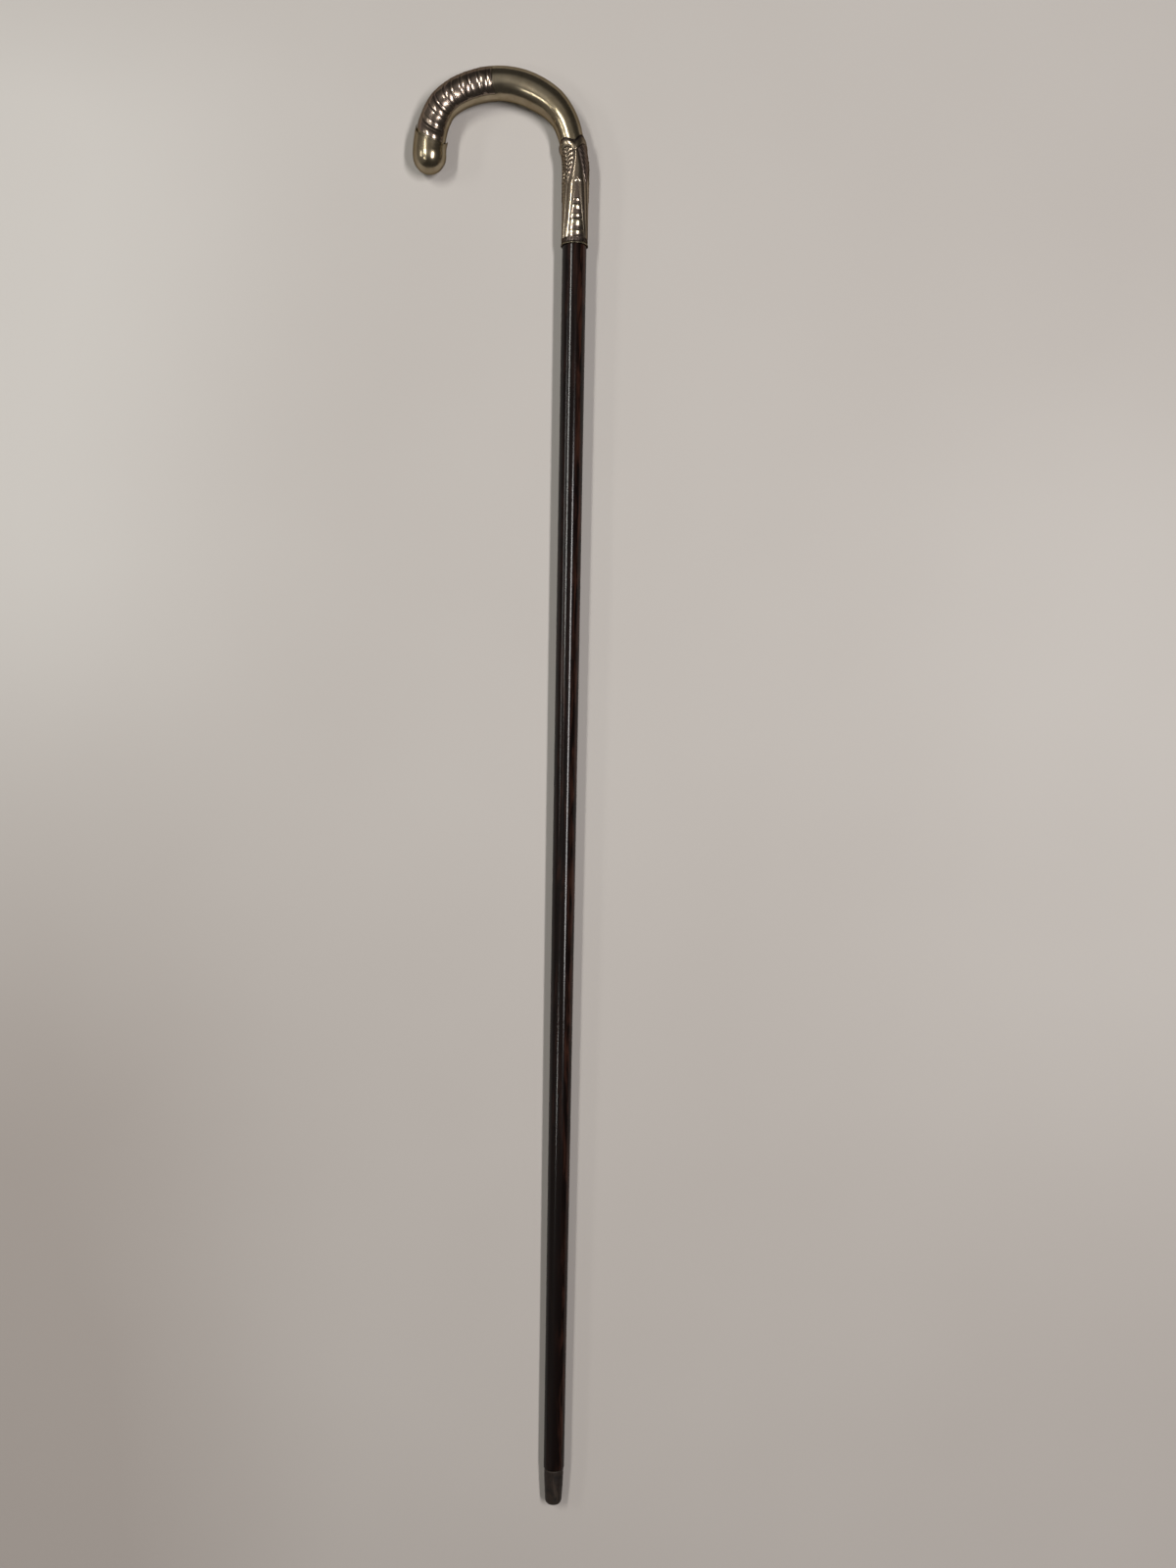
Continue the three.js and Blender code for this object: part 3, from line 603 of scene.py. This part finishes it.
# Half of the collar's sheet: rows up to the scalloped top, never thinner over the tube than the sheet allows
def makeCollar(name, side, node):
    c = collar
    share = np.linspace(-1, 1, c["columns"])[None, :]
    own = share * (90 - math.degrees(c["seam"] / c["bore"]))
    top = bandMid(own) + 0.99 * c["bandHalf"]
    h = c["rim"] + np.linspace(0, 1, c["rows"])[:, None] * (top - c["rim"])
    own = own + np.zeros_like(h)
    angle = angleAtHeight(handle["rimZ"] + h)
    relief, patinaAndShade, dark = collarRelief(h, own + side)
    bore = np.maximum(c["bore"], np.where(angle > crook["mouth"] - 3, tubeRadius(angle) + 0.3, 0))
    distance = np.maximum(c["ground"] + relief, bore + handle["sheet"] * 0.7)
    outer = around(angle, own + side + c["turn"], distance)
    few = np.linspace(0, c["columns"] - 1, c["innerColumns"]).astype(int)
    inner = around(angle[:, few], own[:, few] + side + c["turn"], bore[:, few])
    oxideAndShade = np.clip(hollowOf(relief, (6, 7), 0.2) + dark, 0, 1)
    makeShell(name, outer, inner, oxideAndShade, patinaAndShade, silver, "silver", [node])


makeCollar("collar_front_sheet", 0, "collar_front_shell")
makeCollar("collar_back_sheet", 180, "collar_back_shell")


# Nose cap: sleeve with a swagged, rounded lip, a horn outside and a tick inside, closed by a half ellipsoid
cap = {
    "columns": 240, "bore": 9.95, "wall": 0.5, "dome": 11.4, "hornLean": 0.15, "tickLean": 0.5,
    "domeRows": 60, "sleeveRows": 70, "lipRows": 9, "boreRows": 12, "innerDomeRows": 14, "lipShadeRows": 12,
}


def makeCap():
    c = cap
    turn = np.linspace(0, 360, c["columns"], endpoint=False)[None, :]
    horn, tick = hornShare(turn), tickShare(turn)
    edge = capEdge(turn) + slantShape(turn)

    # Rows of the sleeve: share u from the lip to the end of the spine, lifted near the lip by horn and tick
    def sleeve(u, distance):
        u = np.asarray(u, float)[:, None]
        lift = (1 - u) ** 3 * (c["hornLean"] * horn + c["tickLean"] * tick)
        return around(edge + (180 - edge) * u, turn + np.zeros_like(u), np.asarray(distance)[:, None] + lift)

    # Rows of the end: an ellipsoid about the spine's end, by latitude
    def end(latitude, distance, length):
        b = np.radians(latitude)[:, None]
        ring = around(np.full((len(latitude), 1), 180.0), turn + 0 * b, distance * np.cos(b) + 0 * turn)
        return ring + (length * np.sin(b))[..., None] * np.array([0.0, 0.0, -1.0])

    outside, inside = c["bore"] + c["wall"], c["bore"]
    lipTurn = np.radians(np.linspace(80, -80, c["lipRows"]))
    lip = sleeve(0.012 - 0.012 * np.cos(lipTurn), inside + c["wall"] * (0.5 + 0.5 * np.sin(lipTurn)))
    grid = np.concatenate([
        end(np.linspace(90, 2, c["domeRows"]), outside, c["dome"]),
        sleeve(np.linspace(1, 0.03, c["sleeveRows"]), np.full(c["sleeveRows"], outside)),
        lip,
        sleeve(np.linspace(0.03, 1, c["boreRows"]), np.full(c["boreRows"], inside)),
        end(np.linspace(6, 90, c["innerDomeRows"]), inside, c["dome"] - c["wall"]),
    ])
    oxideAndShade = np.zeros(grid.shape[:2])
    lipStart = c["domeRows"] + c["sleeveRows"]
    # Painted shade: the rows next to the lip and the lip itself darken towards the step, where shade falls
    lipPaintedShade = np.linspace(0, 0.5, c["lipShadeRows"] + c["lipRows"])
    oxideAndShade[lipStart - c["lipShadeRows"]:lipStart + c["lipRows"]] = lipPaintedShade[:, None]
    makeTurned("nose_cap_cup", grid, oxideAndShade, silver, "silver", ["nose_cap"])


makeCap()


# Round piece from a profile of (radius, height) pairs, carried round the Z axis
def turnedGrid(profile, columns):
    r, z = np.array(profile, float).T
    t = np.linspace(0, 2 * np.pi, columns, endpoint=False)[None, :]
    return np.stack([r[:, None] * np.cos(t), r[:, None] * np.sin(t), z[:, None] + 0 * t], -1)


# Arc of an ellipse as (radius, height) pairs, between two angles in degrees
def arcPoints(cx, cz, rx, rz, start, stop, count):
    b = np.radians(np.linspace(start, stop, count))
    return list(zip(cx + rx * np.cos(b), cz + rz * np.sin(b)))


# Rim: a soldered edge round the collar's mouth, flat underneath, where painted shade darkens it
rim = {"bore": 7.6, "edge": 8.6, "top": 8.3, "height": 1.0, "round": 0.12, "columns": 160}


def makeRim():
    r, z = rim, handle["rimZ"]
    low = arcPoints(r["edge"] - r["round"], z + r["round"], r["round"], r["round"], -90, 0, 5)
    side = [(r["edge"] - 0.03, z + 0.45), (r["top"] + 0.08, z + 0.75), (r["top"], z + 0.92)]
    profile = [(r["bore"], z), *low, *side, (r["top"] - 0.08, z + r["height"]), (r["bore"], z + r["height"])]
    grid = turnedGrid(profile, r["columns"])
    oxideAndShade = np.full(grid.shape[:2], 0.3)
    # Painted shade: the flat underside gets the full dark oxide colour
    oxideAndShade[:2] = 1
    oxideAndShade[-2:] = 0.8
    makeTurned("collar_rim_bead", grid, oxideAndShade, silver, "silver", ["collar_rim"], ringed=True)


makeRim()


# Shaft: a straight stick that swells evenly upwards, rounded at its foot, with its hidden spigot and tenon
shaft = {
    "foot": 22.4, "length": 764.3, "footRadius": 6.4, "headRadius": 7.6, "rounding": 0.8,
    "spigot": (3.5, 8.4), "tenonRoot": 7.3, "tenonTip": (5.0, 837.0), "columns": 96, "rows": 260,
}


def makeShaft():
    s = shaft
    u = np.linspace(0, 1, s["rows"])[1:]
    swell = smoothThrough([(0, 0), (0.45, 0.6), (1, 1)], u)
    radius = s["footRadius"] + (s["headRadius"] - s["footRadius"]) * swell
    start = s["rounding"]
    stick = list(zip(radius, s["foot"] + start + (s["length"] - start) * u))
    foot = arcPoints(s["footRadius"] - start, s["foot"] + start, start, start, -90, 0, 8)
    profile = [(0, s["spigot"][1]), s["spigot"], (s["spigot"][0], s["foot"]), *foot, *stick,
               (s["tenonRoot"], s["foot"] + s["length"]), s["tenonTip"], (0, s["tenonTip"][1])]
    grid = turnedGrid(profile, s["columns"])
    makeTurned("shaft_stick", grid, np.zeros(grid.shape[:2]), hardwood, "hardwood", ["shaft"])


makeShaft()


# Ferrule: tapered horn sleeve with a worn, rounded end and a blind socket; its wear is two crossing waves
ferrule = {
    "top": 6.05, "middle": (13.44, 5.795), "low": 5.2, "rounding": 3.4, "flat": 2.5, "length": 22.1,
    "chamfer": 0.5, "socket": (3.8, 8.1), "columns": 128, "wear": 0.06,
}


def makeFerrule():
    f = ferrule
    tip = arcPoints(f["flat"], f["rounding"], f["low"] - f["flat"], f["rounding"], -90, 0, 18)
    cut = f["chamfer"]
    stations = [(f["rounding"], f["low"]), f["middle"], (f["length"] - cut, f["top"])]
    z = np.linspace(f["rounding"], f["length"] - cut, 40)[1:]
    side = list(zip(smoothThrough(stations, z), z))
    crown = arcPoints(f["top"] - cut, f["length"] - cut, cut, cut, 0, 90, 7)[1:]
    profile = [(0, 0), *tip, *side, *crown, (f["socket"][0], f["length"]), f["socket"], (0, f["socket"][1])]
    grid = turnedGrid(profile, f["columns"])
    t = np.arctan2(grid[..., 1], grid[..., 0])
    radius = np.hypot(grid[..., 0], grid[..., 1])
    wave = np.sin(3 * t + grid[..., 2] * 0.7) * np.sin(5 * t - grid[..., 2] * 0.4 + 1) - 1
    shrink = 1 + f["wear"] * wave * 0.5 * ease(radius, 3.9, 4.6) / np.maximum(radius, 1)
    grid[..., :2] *= shrink[..., None]
    makeTurned("ferrule_sleeve", grid, np.zeros(grid.shape[:2]), horn, "horn", ["ferrule"])


makeFerrule()

# The filling is hidden, so it keeps its CAD mesh
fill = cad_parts["handle_fill"].data
fill.materials.clear()
fill.materials.append(pitch)
print("pieces made")

# Wall: the pale board behind the cane, which all but touches it at the nose and at the ferrule. Painted light
# and shade make it darker towards the floor and at the lower left, and paler at the upper left and the middle
# right
wallSet = {
    "low": (22.0, 6.5), "slope": 0.00531, "middle": 450, "half": 2200, "pale": (0.576, 0.55, 0.522),
    "shade": (0.372, 0.334, 0.309), "dim": 0.4, "floorPaintedShade": 0.27, "leftPaintedShade": 0.44, "leftPaintedLight": 0.4,
    "rightPaintedLight": 0.15, "cloud": 0.3,
}


def makeWall():
    w = wallSet
    x = w["half"]
    z = np.array([-x, x]) + w["middle"]
    y = w["low"][1] + w["slope"] * (z - w["low"][0])
    corners = np.array([(-x, y[0], z[0]), (x, y[0], z[0]), (x, y[1], z[1]), (-x, y[1], z[1])]) * 0.001
    mesh = bpy.data.meshes.new("wall")
    mesh.from_pydata(corners.tolist(), [], [(0, 1, 2, 3)])
    f = newFinish("wall")
    spot = f.place()
    height = f.add("SeparateXYZ", {}, {"Vector": spot}, out=2)
    across = f.add("SeparateXYZ", {}, {"Vector": spot}, out=0)
    left, right = 1 - across.between(-0.35, -0.1), across.between(0.05, 0.35)
    # Painted light and shade over the board, by its height and its side
    dim = (1 - height.between(-0.05, 0.75)) * w["floorPaintedShade"] + w["dim"]
    dim = dim + w["leftPaintedShade"] * left * (1 - height.between(0.2, 0.45))
    dim = dim - w["leftPaintedLight"] * left * height.between(0.4, 0.6) * (1 - 0.6 * height.between(0.85, 0.97))
    dim = dim - w["rightPaintedLight"] * right * height.between(0.15, 0.35) * (1 - height.between(0.6, 0.75))
    soft = f.noise(spot, 3.2, 3, 0.5) - 0.5
    shadedPaint = f.blend((dim + soft * w["cloud"]).clamp(), w["pale"], w["shade"])
    normal = f.bump(f.noise(spot, 260, 3, 0.5), 0.0003, 0.12)
    values = {"Base Color": shadedPaint, "Roughness": 0.75, "Normal": normal, "Specular IOR Level": 0.2}
    body = f.add("BsdfPrincipled", {}, values)
    clear = f.add("BsdfTransparent", {}, {})
    back = f.add("NewGeometry", out=6)
    f.add("OutputMaterial", {}, {"Surface": f.add("MixShader", {}, {0: back, 1: body, 2: clear})})
    mesh.materials.append(f.owner)
    wall = bpy.data.objects.new("wall", mesh)
    bpy.context.scene.collection.objects.link(wall)


makeWall()

# Lamps: where each stands in metres, its width and height, its part of the light on the wall and its tint
leftTint = (1.0, 1.0, 0.955)
rightTint = (1.0, 0.972, 0.965)
lamps = {
    "lampLeftFar": {"place": (-2.6, -1.8, 1.0), "size": (0.3, 1.2), "share": 0.051, "tint": leftTint},
    "lampLeftHigh": {"place": (-0.96, -1.8, 1.12), "size": (0.17, 0.86), "share": 0.33, "tint": leftTint},
    "lampLeftLow": {"place": (-1.12, -1.8, -0.15), "size": (0.14, 0.16), "share": 0.046, "tint": leftTint},
    "lampRight": {"place": (0.82, -1.8, 0.55), "size": (0.17, 1.0), "share": 0.66, "tint": rightTint},
}
lampAim = (0, 0, 0.5)


# Each lamp's power is worked out so that its share is the light it gives where it aims, on the wall's plane
def placeLamps():
    aim = Vector(lampAim)
    for name, lamp in lamps.items():
        light = bpy.data.lights.new(name, "AREA")
        light.shape = "RECTANGLE"
        light.size, light.size_y = lamp["size"]
        place = Vector(lamp["place"])
        ray = aim - place
        facing = abs(ray.y) / ray.length
        light.energy = lamp["share"] * math.pi ** 2 * ray.length_squared / facing
        light.color = lamp["tint"]
        body = bpy.data.objects.new(name, light)
        body.location = place
        body.rotation_mode = "QUATERNION"
        body.rotation_quaternion = ray.to_track_quat("-Z", "Y")
        body.visible_camera = False
        bpy.context.scene.collection.objects.link(body)


placeLamps()

# Room round the cane: dim, with a soft glow behind the viewer and another at the left. The camera itself sees
# one pale colour past the wall
room = {
    "base": 0.07, "onMatt": 0.15, "tint": (1.0, 0.96, 0.9), "seen": (0.56, 0.53, 0.49),
    "lobes": [((-0.1, -0.97, 0.17), 0.78, 0.97, 0.22), ((-0.85, -0.5, 0.05), 0.5, 0.92, 0.2)],
}


def lightRoom():
    world = bpy.data.worlds.new("room")
    bpy.context.scene.world = world
    f = Finish(world)
    look = f.add("TexCoord", out=0)
    level = None
    for way, low, high, gain in room["lobes"]:
        unit = Vector(way).normalized()
        facing = f.add("VectorMath", {"operation": "DOT_PRODUCT"}, {0: look, 1: tuple(unit)}, out=1)
        lobe = facing.between(low, high) * gain
        level = lobe if level is None else level + lobe
    level = (level + room["base"]).clamp()
    # Mirror-like surfaces see the whole room, matt ones only a share of it
    glossy = f.add("LightPath", out=3)
    level = level * (glossy * (1 - room["onMatt"]) + room["onMatt"])
    shade = f.add("Background", {}, {"Color": room["tint"], "Strength": level})
    plain = f.add("Background", {}, {"Color": room["seen"], "Strength": 1.0})
    seen = f.add("LightPath", out=0)
    f.add("OutputWorld", {}, {"Surface": f.add("MixShader", {}, {0: seen, 1: shade, 2: plain})})


lightRoom()
print("wall, lamps and room made")

bpy.context.scene.view_settings.view_transform = "Standard"
